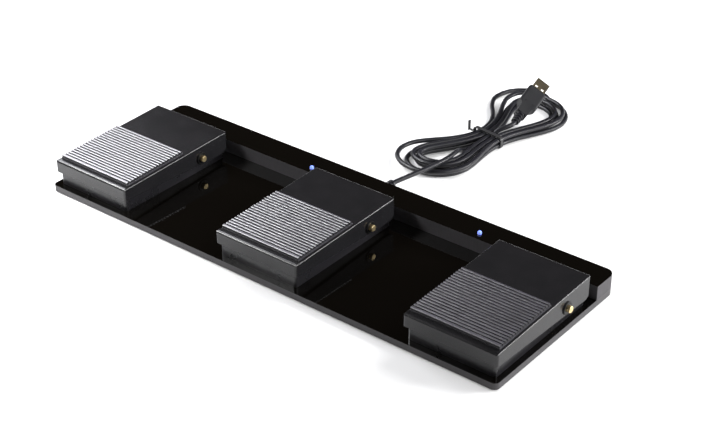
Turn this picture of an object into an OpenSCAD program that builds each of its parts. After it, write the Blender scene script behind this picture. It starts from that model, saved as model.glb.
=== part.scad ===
// Triple foot pedal switch with a USB lead.
// Three steel pedals stand on a black acrylic board, with a housing for the
// electronics along the rear edge and a wound cable behind it.
// Millimetres. X runs along the board, Y to the rear, Z up from the floor.

/* [Board] */
// length of the board from end to end
plate_len = 406; // [380:1:440]
// depth of the board from front to rear
plate_dep = 144; // [136:0.5:156]
// thickness of the acrylic board
plate_t = 5; // [4:0.5:8]
// radius of the board's front corners
plate_front_corner = 4; // [2:0.5:8]
// radius of the board's rear corners
plate_corner = 7; // [4:0.5:9]
// height of the rubber feet
foot_h = 1.0; // [0.8:0.1:3]
// diameter of the rubber feet
foot_d = 14; // [10:0.5:16]

/* [Pedals] */
// gap from the board's ends to the outer pedal covers
end_gap = 2.25; // [1.5:0.25:12]
// gap from the board's front edge to the pedal covers
front_gap = 3.5; // [2:0.5:6]
// gap from the pedal covers to the housing
housing_gap = 6.5; // [5:0.5:10]
// width of a pedal cover
cover_w = 73.5; // [68:0.5:74]
// sheet thickness of a pedal cover
cover_wall = 1.2; // [1:0.1:1.4]
// height of the cover's top at its front edge, above the board
cover_front_top = 20.1; // [19.6:0.1:22]
// height of the cover's top at its rear edge, above the board
cover_rear_top = 22.9; // [22:0.1:24]
// height of the cover's lower edge at the front, above the board
cover_front_low = 10.4; // [9.5:0.1:11]
// height of the cover's lower edge at the rear, above the board
cover_rear_low = 5.2; // [4.5:0.1:6]
// radius of the cover's upright corners
cover_corner = 1.6; // [1.5:0.1:4]
// radius along the cover's top edges
cover_edge = 1.1; // [0.8:0.1:2.4]
// radius along the cover's front top edge
cover_front_edge = 2; // [0.8:0.1:2.4]
// radius of the cover's lower rear corner
cover_rear_round = 6; // [4:0.5:8]
// gap between the cover and the tray inside it
side_play = 1.0; // [0.8:0.1:1.2]
// largest angle that a pedal is pressed
press_angle = 4.5; // [3:0.1:4.5]

/* [Tread pads] */
// distance from the cover's front edge to the pad
pad_start = 4.7; // [3:0.1:6]
// length of the pad
pad_len = 59.2; // [50:0.2:64]
// distance from the cover's side to the pad
pad_inset = 1.8; // [1.4:0.1:4]
// thickness of the pad's sheet
pad_sheet = 1.0; // [0.6:0.1:1.6]
// height of a rib above the sheet
rib_h = 2.0; // [1.2:0.1:2.6]
// width of a rib
rib_w = 1.9; // [1.6:0.1:2.2]
// radius along a rib's top edges
rib_round = 0.6; // [0.3:0.1:0.8]
// extra width of the first rib
first_rib_extra = 0.6; // [0:0.1:1.2]
// number of ribs on a pad
rib_count = 20; // [14:1:22]

/* [Hinge] */
// diameter of the brass axle
axle_d = 5; // [4:0.1:5.6]
// distance from the cover's rear edge to the axle
axle_back = 28.9; // [27:0.1:31]
// height of the axle above the board
axle_up = 12; // [11.5:0.1:12.5]
// length of axle that shows beyond the bushing
axle_show = 2.6; // [1:0.1:3]
// diameter of the bushing in the cover's side
bush_d = 7.5; // [7:0.1:8.4]
// diameter of the bushing's flange
bush_flange_d = 9.6; // [9.5:0.1:11]
// thickness of the bushing's flange
bush_flange_t = 1; // [1:0.1:2]
// radial gap between the bushing and the axle
bush_play = 0.05; // [0.03:0.01:0.08]

/* [Pedal tray] */
// wall thickness of the tray
tray_wall = 1.6; // [1.2:0.1:2]
// thickness of the tray's floor
tray_floor = 1.5; // [1.2:0.1:2]
// height of the tray's walls
tray_h = 11; // [10.6:0.1:11.4]
// diameter of the tray screws
screw_d = 3; // [2.5:0.1:3.2]
// head diameter of the screws
screw_head = 5.8; // [5.2:0.1:6]

/* [Switch] */
// width of the switch body
switch_w = 13; // [11:0.5:15]
// height of the switch body
switch_h = 9; // [8:0.5:10]
// diameter of the switch plunger
plunger_d = 6; // [4:0.2:7]
// radial gap around the plunger
plunger_play = 0.06; // [0.04:0.01:0.09]
// distance from the axle to the plunger
plunger_lever = 30; // [26:0.5:33]
// gap between the plunger and the cover at rest
plunger_gap = 0.1; // [0.06:0.01:0.2]
// outer diameter of the return spring
spring_d = 9.4; // [8:0.1:10]
// wire diameter of the return spring
spring_wire = 1.1; // [0.8:0.1:1.2]
// diameter of a pedal lead
lead_d = 3; // [2.4:0.1:3]

/* [Rear housing] */
// depth of the housing from front to rear
housing_dep = 24; // [23:0.5:25]
// height of the hollow frame
frame_h = 6; // [5.9:0.1:8]
// thickness of the lid
lid_t = 5; // [4.4:0.1:6]
// wall thickness of the frame
frame_wall = 3; // [2.5:0.1:3.4]
// thickness of the circuit board
pcb_t = 1.6; // [1:0.1:1.6]
// diameter of the indicator lamps
led_d = 3; // [2.4:0.1:3.4]
// height of the lamps above the lid
led_show = 2.4; // [1.5:0.1:3]

/* [Cable] */
// diameter of the cable
cord_d = 3.8; // [3.4:0.1:3.9]
// length of the boot behind the housing
boot_len = 12.5; // [10:0.5:14]
// diameter of the boot at the housing
boot_d = 7.2; // [6.6:0.1:8]
// width of the plug's moulded grip
grip_w = 16.4; // [15.5:0.1:17]
// thickness of the plug's moulded grip
grip_t = 8; // [7.6:0.1:8.4]
// length of the plug's moulded grip
grip_len = 33; // [30:0.5:36]
// width of the tie around the hank
tie_w = 3; // [2:0.2:4]

/* [Hidden] */
$fn = 48;

// colours
black_acrylic = [0.03, 0.03, 0.035];
black_steel = [0.10, 0.10, 0.105];
black_plastic = [0.06, 0.06, 0.065];
black_rubber = [0.14, 0.14, 0.145];
dark_rubber = [0.05, 0.05, 0.05];
brass = [0.80, 0.66, 0.34];
steel = [0.62, 0.62, 0.62];
green_board = [0.05, 0.22, 0.12];
blue_lamp = [0.35, 0.45, 0.95];
white_plastic = [0.85, 0.85, 0.83];

// board and housing
floor_z = foot_h + plate_t;
pedal_pitch = plate_len / 2 - end_gap - cover_w / 2;
cover_len = plate_dep - housing_dep - front_gap - housing_gap;
plate_front = -plate_dep / 2;
plate_rear = plate_dep / 2;
housing_front = plate_rear - housing_dep;
lid_z = floor_z + frame_h;
lid_top = lid_z + lid_t;
frame_mid = (housing_front + plate_rear) / 2;
boss_d = screw_d + 4;
boss_y = plate_rear - frame_wall - boss_d / 2 + 0.2;
housing_screw_x = [-plate_len / 2 + 11, -80, 128, plate_len / 2 - 11];
screw_hole = screw_d + 0.3;
head_h = (screw_head - screw_d) / 2;

// feet stand clear of the screw heads
foot_spots = [
    [-plate_len / 2 + 13, plate_front + 10], [0, plate_front + 10], [plate_len / 2 - 13, plate_front + 10],
    [-plate_len / 2 + 27, plate_rear - 16], [0, plate_rear - 16], [plate_len / 2 - 27, plate_rear - 16]
];

// pedal
cover_front = plate_front + front_gap;
cover_rear = cover_front + cover_len;
cover_slope = atan((cover_rear_top - cover_front_top) / cover_len);
skin = cover_wall / cos(cover_slope);
axle_y = cover_rear - axle_back;
axle_z = floor_z + axle_up;
function cover_top(y) = floor_z + cover_front_top + (y - cover_front) * tan(cover_slope);
function cover_under(y) = cover_top(y) - skin;

// height of the cover's underside at y when the pedal is pressed by an angle
under_dist = (cover_under(axle_y) - axle_z) * cos(cover_slope);
function pressed_under(y, angle) = axle_z + (y - axle_y) * tan(cover_slope + angle)
    + under_dist / cos(cover_slope + angle);

tray_w = cover_w - 2 * (cover_wall + side_play);
tray_len = cover_len - 2 * (cover_wall + side_play);
tray_front = cover_front + cover_wall + side_play;
tray_rear = tray_front + tray_len;
tray_mid = (tray_front + tray_rear) / 2;
cut_h = 80;
foot_taper = foot_h * 0.4;
ear_t = tray_wall + 2.4;
ear_r = axle_d / 2 + 3.4;
boss_h = 7;
lid_bite = 3;
head_play = 0.16;
tray_screw_side = 10.55;
tray_screw_front = 20.5;
tray_screw_rear = 12.5;
tray_screw_x = tray_w / 2 - tray_screw_side;
tray_screw_y = [cover_front + tray_screw_front, cover_rear - tray_screw_rear];
bush_in = 0.8;
bush_bevel = 0.3;
bush_bore = axle_d + 2 * bush_play;
axle_half = cover_w / 2 + bush_flange_t + axle_show;

// switch, spring and stops inside the tray
switch_x = -15;
switch_y = axle_y - plunger_lever;
switch_base = floor_z + tray_floor;
switch_top = switch_base + switch_h;
collar_h = 2;
plunger_top = cover_under(switch_y) - plunger_gap;
plunger_bottom = switch_base + 4.6;
spring_x = 15;
spring_ahead = 12;
spring_y = switch_y - spring_ahead;
spring_top = cover_under(spring_y - spring_d / 2 + spring_wire / 2);
spring_mean = (spring_d - spring_wire) / 2;
post_d = spring_d - 2 * spring_wire - 0.6;
bumper_d = 8;
bumper_t = 6;
stop_gap = 0.05;
front_stop_in = 16.5;
rear_stop_in = 7.5;
front_stop_y = cover_front + front_stop_in;
front_stop_top = pressed_under(front_stop_y - bumper_d / 2, press_angle) - stop_gap;
rear_stop_y = cover_rear - rear_stop_in;
rear_stop_top = cover_under(rear_stop_y - bumper_d / 2) - stop_gap;
front_post = front_stop_top - bumper_t;
rear_post = rear_stop_top - bumper_t;

// pedal leads run straight to the rear and turn inside the housing
lead_z = floor_z + 1.0 + pcb_t + 0.1 + lead_d / 2;
lead_turn = 6;
lead_row = housing_front + 12;
pcb_left = -60;
pcb_right = 114;
pcb_z = floor_z + 1.0;
pcb_top = pcb_z + pcb_t;
pcb_front = housing_front + frame_wall + 2.5;
inner_room = 3.2;
usb_socket_rear = plate_rear - frame_wall - inner_room;
pcb_rear = usb_socket_rear;
socket_w = 8;
socket_h = 3.3;
socket_len = 7;
board_pad = [8, 6];
board_pad_in = 8;
chip_x = 40;
chip = [9, 7, 1.4];
chip_leg = [0.5, 1, 0.6];
chip_pitch = 1.25;
led_x = [-51.5, 102];
led_in = [5.8, 7];
led_y = [for (d = led_in) plate_rear - housing_dep + d];
led_base = lid_z + 1.8;
led_rim_t = 0.8;
led_rim_d = led_d + 0.8;
led_play = 0.1;
led_leg = 0.5;
led_leg_gap = 1.8;

// boot and cable
boot_x = 2;
boot_z = floor_z + frame_h / 2;
boot_neck = 4.6;
boot_lip = 5.2;
boot_lip_t = 1.0;
boot_tip_d = boot_d - 0.3;
boot_rings = 4;
ring_gap = 0.9;
ring_cut = 0.8;
ring_round = 0.35;
boot_end = plate_rear + boot_len;

// plan of the hank: a waisted loop that is wound outward in a lower layer
// and inward again in an upper one
hank_centre = [4, 198];
hank_turn = -8;
hank_half = 68.5;
hank_half_far = 6;
hank_waist = 1.15;
hank_bulge = 35;
hank_bulge_far = 6;
hank_bow = -10;
hank_step = 4.85;
hank_loops = 5;
hank_layer = 4.35;
hank_lift = 1.0;
slack_all = 3;
slack_near = 5.5;
slack_far = 14;
slack_from = 1.4;
slack_over = 0.7;
rings_per_loop = 24;
tie_t = 0.8;
twist_len = 6;
twist_d = 1.8;
strip_w = 2.4;
strip_h = 8.5;

function unit(v) = v / norm(v);
function smooth(t) = t <= 0 ? 0 : t >= 1 ? 1 : t * t * (3 - 2 * t);
function loop_bulge(a) = hank_waist + (hank_bulge + hank_bulge_far * sin(a)) * pow(sin(a), 2);
function loop_plain(a) = [(hank_half + hank_half_far * sin(a)) * sin(a),
    -cos(a) * loop_bulge(a) + hank_bow * pow(cos(a), 2)];
function loop_way(a) = unit(loop_plain(a + 0.5) - loop_plain(a - 0.5));
function loop_out(a) = let (w = loop_way(a)) [w[1], -w[0]];

// the outermost loop is slacker than the rest, most of all on the far lobe's left
far_peak = 0.238;
function loop_slack(a) = slack_all * pow(sin(a), 2) + slack_near * pow(max(0, -sin(a)), 3)
    + slack_far / far_peak * pow(max(0, sin(a)), 6) * max(0, -cos(a));
function loop_round(a) = min(a, 360 * hank_loops - a) / 360;
function loop_offset(a) = hank_step * loop_round(a)
    + loop_slack(a) * smooth((loop_round(a) - slack_from) / slack_over);
function layer_share(a) = smooth((a - 180 * hank_loops + 90) / 180);
function loop_height(a) = cord_d / 2 + hank_layer * layer_share(a) + hank_lift * pow(cos(a), 8);
function hank_plan(a) = loop_plain(a) + loop_out(a) * loop_offset(a);
function turn_plan(p) = [
    hank_centre[0] + p[0] * -sin(hank_turn) - p[1] * cos(hank_turn),
    hank_centre[1] + p[0] * cos(hank_turn) - p[1] * sin(hank_turn)
];
function hank_point(a) = let (p = turn_plan(hank_plan(a))) [p[0], p[1], loop_height(a)];
hank_way = let (d = turn_plan([1, 0]) - hank_centre) [d[0], d[1], 0];
hank_body = [for (i = [0 : rings_per_loop * hank_loops]) hank_point(i * 360 / rings_per_loop)];
hank_in = hank_body[0] - hank_way * cord_d;
hank_out = hank_body[len(hank_body) - 1] + hank_way * cord_d;
hank_points = concat([hank_in], hank_body, [hank_out]);

// least gap between turns of the hank, measured on its points
function segment_gap(p, a, b) = let (t = max(0, min(1, ((p - a) * (b - a)) / ((b - a) * (b - a)))))
    norm(p - a - (b - a) * t);
hank_gap = min([for (i = [0 : len(hank_points) - 1]) for (j = [0 : len(hank_points) - 2])
    if (abs(i - j) > 6) segment_gap(hank_points[i], hank_points[j], hank_points[j + 1])]) - cord_d;
echo(hank_gap = hank_gap);

// a curve between two points with given directions
function hermite(p, dp, q, dq, t) = p * (2 * pow(t, 3) - 3 * pow(t, 2) + 1)
    + dp * (pow(t, 3) - 2 * pow(t, 2) + t)
    + q * (3 * pow(t, 2) - 2 * pow(t, 3))
    + dq * (pow(t, 3) - pow(t, 2));

// the lead leaves the boot, crosses the near loops and comes down inside them to the waist
lead_from = [boot_x, boot_end, boot_z];
cord_stub = 1;
lead_start = lead_from + [0, cord_stub, 0];
lead_start_way = [13, 38, 6];
lead_crest = [14, 146, cord_d * 1.5 + hank_layer + 1.45];
lead_way = unit([-5, 44, 0]);
lead_low_plan = turn_plan([-22, -8]);
lead_low = [lead_low_plan[0], lead_low_plan[1], cord_d / 2 + 0.5];
lead_low_way = let (d = turn_plan([1, -0.12]) - hank_centre) [d[0], d[1], 0];
lead_end = hank_in - hank_way * cord_stub;
lead_points = concat(
    [lead_from],
    [for (i = [0 : 7]) hermite(lead_start, lead_start_way, lead_crest, lead_way * 50, i / 7)],
    [for (i = [1 : 6]) hermite(lead_crest, lead_way * 50, lead_low, lead_low_way * 40, i / 6)],
    [for (i = [1 : 3]) hermite(lead_low, lead_low_way * 20, lead_end, hank_way * 20, i / 3)],
    [hank_in]
);

// the tail rises from the waist to the plug, which leans over the far loops
plug_from = [23.5, 218.3, 13.5];
plug_turn = 9.5;
plug_pitch = 10.5;
plug_roll = 32;
plug_way = [-sin(plug_turn) * cos(plug_pitch), cos(plug_turn) * cos(plug_pitch), sin(plug_pitch)];
tail_start = hank_out + hank_way * cord_stub;
tail_start_way = hank_way * 16 + [0, 0, 12];
tail_end = plug_from - plug_way * cord_stub;
tail_points = concat(
    [hank_out],
    [for (i = [0 : 8]) hermite(tail_start, tail_start_way, tail_end, plug_way * 22, i / 8)],
    [plug_from]
);

relief_len = 10;
relief_from_d = 6.6;
relief_to_d = 8;
relief_rings = 4;
neck_w = 9.6;
neck_len = 9;
shoulder_len = 4;
grip_bevel = 1;
grip_round = 2.2;
shell_w = 12;
shell_t = 4.5;
shell_len = 13.5;
shell_wall = 0.35;
shell_in = 6;
window = [2.4, 2.4];
window_side = 2.9;
window_in = 2.8;
dimple_d = 1.2;
dimple_side = 3.5;
dimple_in = 14;
dimple_deep = 0.4;

// plain helper shapes
module rounded_plan(w, d, r) {
    square([w - 2 * r, d], center = true);
    square([w, d - 2 * r], center = true);
    for (sx = [-1, 1])
        for (sy = [-1, 1])
            translate([sx * (w / 2 - r), sy * (d / 2 - r)])
                circle(r);
}

module along_x(x0, x1, y, z, d) {
    translate([x0, y, z])
        rotate([0, 90, 0])
            cylinder(h = x1 - x0, d = d);
}

module along_y(y0, y1, x, z, d) {
    translate([x, y0, z])
        rotate([-90, 0, 0])
            cylinder(h = y1 - y0, d = d);
}

module upright(x, y, z0, z1, d) {
    translate([x, y, z0])
        cylinder(h = z1 - z0, d = d);
}

// a tube of straight rings along a row of points
function tube_way(p, i) = unit(p[min(i + 1, len(p) - 1)] - p[max(i - 1, 0)]);
function tube_ring(p, i, r, n) = let (
    t = tube_way(p, i),
    s = unit(cross(t, [0, 0, 1])),
    u = cross(s, t)
) [for (k = [0 : n - 1]) p[i] + r * (cos(360 * k / n) * s + sin(360 * k / n) * u)];

module tube(p, d, n) {
    last = len(p) - 1;
    rings = [for (i = [0 : last]) each tube_ring(p, i, d / 2, n)];
    walls = [for (i = [0 : last - 1]) for (k = [0 : n - 1]) let (m = (k + 1) % n)
        each [[i * n + k, i * n + m, i * n + n + k], [i * n + m, i * n + n + m, i * n + n + k]]];
    near_cap = [for (k = [1 : n - 2]) [0, k + 1, k]];
    far_cap = [for (k = [1 : n - 2]) [last * n, last * n + k, last * n + k + 1]];
    polyhedron(points = rings, faces = concat(walls, near_cap, far_cap));
}

// cuts a polygon's corner at p, between its neighbours a and b, to a radius
module corner_cut(p, a, b, r) {
    da = unit(a - p);
    db = unit(b - p);
    half = acos(da * db) / 2;
    mid = unit(da + db);
    centre = p + mid * r / sin(half);
    reach = r / tan(half);
    difference() {
        polygon([p - mid, p + da * reach, centre, p + db * reach]);
        translate(centre)
            circle(r);
    }
}

// a countersunk screw, head at the bottom
module screw(x, y, z, length) {
    translate([x, y, z])
        difference() {
            union() {
                cylinder(h = head_h, d1 = screw_head, d2 = screw_d);
                cylinder(h = length, d = screw_d);
            }
            translate([0, 0, -1])
                cylinder(h = 2.2, d = screw_d * 0.75, $fn = 6);
        }
}

module screw_hole(x, y) {
    upright(x, y, foot_h - 1, floor_z + 1, screw_hole);
    translate([x, y, foot_h - 0.01])
        cylinder(h = head_h + head_play, d1 = screw_head + 2 * head_play, d2 = screw_d);
}

// board
module board_plan() {
    x = plate_len / 2;
    difference() {
        square([plate_len, plate_dep], center = true);
        for (s = [-1, 1]) {
            corner_cut([s * x, plate_front], [-s * x, plate_front], [s * x, plate_rear], plate_front_corner);
            corner_cut([s * x, plate_rear], [-s * x, plate_rear], [s * x, plate_front], plate_corner);
        }
    }
}

module base_plate() {
    color(black_acrylic)
        difference() {
            translate([0, 0, foot_h])
                linear_extrude(height = plate_t)
                    board_plan();
            for (i = [-1 : 1])
                for (sx = [-1, 1])
                    for (y = tray_screw_y)
                        screw_hole(i * pedal_pitch + sx * tray_screw_x, y);
            for (x = housing_screw_x)
                screw_hole(x, boss_y);
        }
}

module rubber_feet() {
    color(dark_rubber)
        for (p = foot_spots)
            translate([p[0], p[1], 0]) {
                cylinder(h = foot_taper, d1 = foot_d - foot_taper, d2 = foot_d);
                translate([0, 0, foot_taper])
                    cylinder(h = foot_h - foot_taper, d = foot_d);
            }
}

// the housing's plan keeps the board's corners at the rear and is square in front
module housing_plan(inset) {
    intersection() {
        rounded_plan(plate_len - 2 * inset, plate_dep - 2 * inset, plate_corner - inset);
        translate([-plate_len / 2, housing_front + inset])
            square([plate_len, housing_dep]);
    }
}

module housing_frame() {
    color(black_acrylic)
        difference() {
            translate([0, 0, floor_z])
                linear_extrude(height = frame_h)
                    housing_plan(0);
            difference() {
                translate([0, 0, floor_z - 1])
                    linear_extrude(height = frame_h + 2)
                        housing_plan(frame_wall);
                for (x = housing_screw_x) {
                    upright(x, boss_y, floor_z - 2, lid_z + 2, boss_d);
                    translate([x - boss_d / 2, boss_y, floor_z - 2])
                        cube([boss_d, boss_d, frame_h + 4]);
                }
            }
            for (x = housing_screw_x)
                upright(x, boss_y, floor_z - 1, lid_z + 1, screw_d);
            for (i = [-1 : 1])
                along_y(housing_front - 1, housing_front + frame_wall + 1, i * pedal_pitch + switch_x,
                    lead_z, lead_d + 0.2);
            along_y(plate_rear - frame_wall - 1, plate_rear + 1, boot_x, boot_z, boot_neck);
        }
}

module housing_lid() {
    color(black_acrylic)
        difference() {
            translate([0, 0, lid_z])
                linear_extrude(height = lid_t)
                    housing_plan(0);
            for (i = [0 : len(led_x) - 1]) {
                upright(led_x[i], led_y[i], lid_z - 1, lid_top + 1, led_d + led_play);
                upright(led_x[i], led_y[i], lid_z - 1, led_base + led_rim_t, led_rim_d + 2 * led_play);
            }
            for (x = housing_screw_x)
                upright(x, boss_y, lid_z - 1, lid_z + lid_bite, screw_d);
        }
}

module housing_screws() {
    color(steel)
        for (x = housing_screw_x)
            screw(x, boss_y, foot_h, plate_t + frame_h + lid_bite);
}

// electronics
module board_pads() {
    color(white_plastic)
        for (x = [pcb_left + board_pad_in, (pcb_left + pcb_right) / 2, pcb_right - board_pad_in])
            translate([x - board_pad[0] / 2, (pcb_front + pcb_rear - board_pad[1]) / 2, floor_z])
                cube([board_pad[0], board_pad[1], pcb_z - floor_z]);
}

module circuit_board() {
    color(green_board)
        translate([pcb_left, pcb_front, pcb_z])
            cube([pcb_right - pcb_left, pcb_rear - pcb_front, pcb_t]);
}

module controller_chip() {
    color(black_plastic) {
        translate([chip_x, frame_mid - chip[1] / 2, pcb_top])
            cube(chip);
        for (i = [-3 : 3])
            for (y = [frame_mid - chip[1] / 2 - chip_leg[1], frame_mid + chip[1] / 2])
                translate([chip_x + (chip[0] - chip_leg[0]) / 2 + i * chip_pitch, y, pcb_top])
                    cube(chip_leg);
    }
}

// sockets for the three pedal leads and for the cable
module board_connectors() {
    color(white_plastic) {
        for (x = [pcb_left, pcb_right - socket_len])
            translate([x, lead_row - socket_w / 2, pcb_top])
                cube([socket_len, socket_w, socket_h]);
        translate([switch_x - socket_w / 2, pcb_front, pcb_top])
            cube([socket_w, socket_len, socket_h]);
        translate([boot_x - socket_w / 2, usb_socket_rear - socket_len, pcb_top])
            cube([socket_w, socket_len, socket_h]);
    }
}

module indicator_leds() {
    color(blue_lamp)
        for (i = [0 : len(led_x) - 1])
            translate([led_x[i], led_y[i], 0]) {
                translate([0, 0, led_base])
                    cylinder(h = led_rim_t, d = led_rim_d);
                translate([0, 0, led_base])
                    cylinder(h = lid_top + led_show - led_d / 2 - led_base, d = led_d);
                translate([0, 0, lid_top + led_show - led_d / 2])
                    sphere(d = led_d);
                for (sx = [-1, 1])
                    translate([(sx * led_leg_gap - led_leg) / 2, -led_leg / 2, pcb_top])
                        cube([led_leg, led_leg, led_base + led_rim_t / 2 - pcb_top]);
            }
}

// fixed pieces of one pedal, drawn with the pedal's centre at x = 0
module tray_shape() {
    color(black_plastic)
        difference() {
            union() {
                difference() {
                    translate([0, tray_mid, floor_z])
                        linear_extrude(height = tray_h)
                            rounded_plan(tray_w, tray_len, 2);
                    translate([0, tray_mid, floor_z + tray_floor])
                        linear_extrude(height = tray_h)
                            rounded_plan(tray_w - 2 * tray_wall, tray_len - 2 * tray_wall, 0.8);
                }
                for (sx = [-1, 1]) {
                    along_x(sx * tray_w / 2 - (sx + 1) / 2 * ear_t, sx * tray_w / 2 + (1 - sx) / 2 * ear_t,
                        axle_y, axle_z, 2 * ear_r);
                    translate([sx * tray_w / 2 - (sx + 1) / 2 * ear_t, axle_y - ear_r, floor_z])
                        cube([ear_t, 2 * ear_r, axle_up]);
                    for (y = tray_screw_y)
                        upright(sx * tray_screw_x, y, floor_z, floor_z + boss_h, boss_d);
                }
                upright(0, front_stop_y, floor_z, front_post, bumper_d + 1);
                upright(0, rear_stop_y, floor_z, rear_post, bumper_d + 1);
                upright(spring_x, spring_y, floor_z, floor_z + tray_floor + 4, post_d);
            }
            along_x(-tray_w, tray_w, axle_y, axle_z, axle_d);
            for (sx = [-1, 1])
                for (y = tray_screw_y)
                    upright(sx * tray_screw_x, y, floor_z - 1, floor_z + boss_h + 1, screw_d);
            along_y(tray_rear - tray_wall - 1, tray_rear + 1, switch_x, lead_z, lead_d + 0.2);
        }
}

module tray_screws_shape() {
    color(steel)
        for (sx = [-1, 1])
            for (y = tray_screw_y)
                screw(sx * tray_screw_x, y, foot_h, plate_t + boss_h - 0.5);
}

module axle_shape() {
    color(brass) {
        along_x(-axle_half + 0.4, axle_half - 0.4, axle_y, axle_z, axle_d);
        translate([axle_half - 0.4, axle_y, axle_z])
            rotate([0, 90, 0])
                cylinder(h = 0.4, d1 = axle_d, d2 = axle_d - 0.8);
        translate([-axle_half + 0.4, axle_y, axle_z])
            rotate([0, -90, 0])
                cylinder(h = 0.4, d1 = axle_d, d2 = axle_d - 0.8);
    }
}

module switch_body_shape() {
    color(black_plastic)
        difference() {
            union() {
                translate([switch_x - switch_w / 2, switch_y - switch_w / 2, switch_base])
                    cube([switch_w, switch_w, switch_h]);
                upright(switch_x, switch_y, switch_base, switch_top + collar_h, plunger_d + 3);
            }
            upright(switch_x, switch_y, switch_base + 1.4, switch_top + collar_h + 1,
                plunger_d + 2 * plunger_play);
        }
}

module stop_bumpers_shape() {
    color(dark_rubber) {
        upright(0, front_stop_y, front_post, front_stop_top, bumper_d);
        upright(0, rear_stop_y, rear_post, rear_stop_top, bumper_d);
    }
}

// a compression spring with a closed turn at each end
spring_low = floor_z + tray_floor + spring_wire / 2;
spring_high = spring_top - spring_wire / 2;
spring_turns = 7;
spring_rings = 14;
function spring_rise(t) = t < 1 ? 0.06 * t : t > spring_turns - 1 ? 1 - 0.06 * (spring_turns - t)
    : 0.06 + 0.88 * (t - 1) / (spring_turns - 2);
spring_points = [for (i = [0 : spring_turns * spring_rings]) let (t = i / spring_rings) [
    spring_x + spring_mean * cos(360 * t),
    spring_y + spring_mean * sin(360 * t),
    spring_low + (spring_high - spring_low) * spring_rise(t)
]];

module return_spring_shape() {
    color(steel)
        tube(spring_points, spring_wire, 6);
}

// moving pieces of one pedal
module cover_outline() {
    front_low = [cover_front, floor_z + cover_front_low];
    front_top = [cover_front, floor_z + cover_front_top];
    rear_top = [cover_rear, floor_z + cover_rear_top];
    rear_low = [cover_rear, floor_z + cover_rear_low];
    difference() {
        polygon([front_low, front_top, rear_top, rear_low]);
        corner_cut(front_top, front_low, rear_top, cover_front_edge);
        corner_cut(rear_top, front_top, rear_low, cover_edge);
        corner_cut(rear_low, rear_top, front_low, cover_rear_round);
    }
}

module cover_ridge() {
    square_top = cover_w - 2 * cover_edge;
    translate([-cover_w / 2, -cut_h])
        square([cover_w, cut_h - cover_edge]);
    translate([-square_top / 2, -cut_h])
        square([square_top, cut_h]);
    for (sx = [-1, 1])
        translate([sx * square_top / 2, -cover_edge])
            circle(cover_edge);
}

// the four upright corners of the cover
module cover_corners() {
    x = cover_w / 2;
    linear_extrude(height = cut_h) {
        corner_cut([-x, cover_front], [x, cover_front], [-x, cover_rear], cover_corner);
        corner_cut([x, cover_front], [-x, cover_front], [x, cover_rear], cover_corner);
        corner_cut([-x, cover_rear], [x, cover_rear], [-x, cover_front], cover_corner);
        corner_cut([x, cover_rear], [-x, cover_rear], [x, cover_front], cover_corner);
    }
}

module cover_shape() {
    color(black_steel)
        difference() {
            intersection() {
                translate([-cover_w, 0, 0])
                    rotate([90, 0, 90])
                        linear_extrude(height = 2 * cover_w)
                            cover_outline();
                translate([0, cover_front, floor_z + cover_front_top])
                    rotate([cover_slope, 0, 0])
                        translate([0, 1.5 * cover_len, 0])
                            rotate([90, 0, 0])
                                linear_extrude(height = 2 * cover_len)
                                    cover_ridge();
            }
            cover_corners();
            intersection() {
                translate([-cover_w, 0, 0])
                    rotate([90, 0, 90])
                        linear_extrude(height = 2 * cover_w)
                            polygon([
                                [cover_front - 5, floor_z - 10],
                                [cover_front - 5, cover_under(cover_front - 5)],
                                [cover_rear + 5, cover_under(cover_rear + 5)],
                                [cover_rear + 5, floor_z - 10]
                            ]);
                translate([0, (cover_front + cover_rear) / 2, floor_z - 5])
                    linear_extrude(height = cut_h)
                        rounded_plan(cover_w - 2 * cover_wall, cover_len - 2 * cover_wall,
                            cover_corner - cover_wall);
            }
            along_x(-cover_w, cover_w, axle_y, axle_z, bush_d);
        }
}

// the pad lies on the sloping top of the cover
module on_cover() {
    translate([0, cover_front, floor_z + cover_front_top])
        rotate([cover_slope, 0, 0])
            children();
}

rib_lip = 0.3;
rib_edge = rib_lip + first_rib_extra + rib_w / 2;
rib_sink = 0.2;
rib_pitch = (pad_len - 2 * rib_edge) / (rib_count - 1);
pad_w = cover_w - 2 * pad_inset;
rib_end = 0.3;
rib_len = pad_w - 2 * rib_end;

module rib_profile(w) {
    translate([-w / 2, -rib_sink])
        square([w, rib_h + rib_sink - rib_round]);
    translate([-w / 2 + rib_round, -rib_sink])
        square([w - 2 * rib_round, rib_h + rib_sink]);
    for (s = [-1, 1])
        translate([s * (w / 2 - rib_round), rib_h - rib_round])
            circle(rib_round, $fn = 16);
}

module tread_pad_shape() {
    color(black_rubber)
        on_cover() {
            translate([-pad_w / 2, pad_start, 0])
                cube([pad_w, pad_len, pad_sheet]);
            for (i = [0 : rib_count - 1]) {
                extra = i == 0 ? first_rib_extra : 0;
                translate([-rib_len / 2, pad_start + rib_edge + i * rib_pitch - extra / 2, pad_sheet])
                    rotate([90, 0, 90])
                        linear_extrude(height = rib_len)
                            rib_profile(rib_w + extra);
            }
        }
}

module pivot_bushings_shape() {
    color(black_plastic)
        for (sx = [-1, 1])
            translate([sx * cover_w / 2, axle_y, axle_z])
                rotate([0, sx * 90, 0])
                    difference() {
                        union() {
                            translate([0, 0, -cover_wall - bush_in])
                                cylinder(h = cover_wall + bush_in + bush_flange_t / 2, d = bush_d);
                            cylinder(h = bush_flange_t - bush_bevel, d = bush_flange_d);
                            translate([0, 0, bush_flange_t - bush_bevel])
                                cylinder(h = bush_bevel, d1 = bush_flange_d,
                                    d2 = bush_flange_d - 2 * bush_bevel);
                        }
                        translate([0, 0, -cut_h / 2])
                            cylinder(h = cut_h, d = bush_bore);
                    }
}

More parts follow.
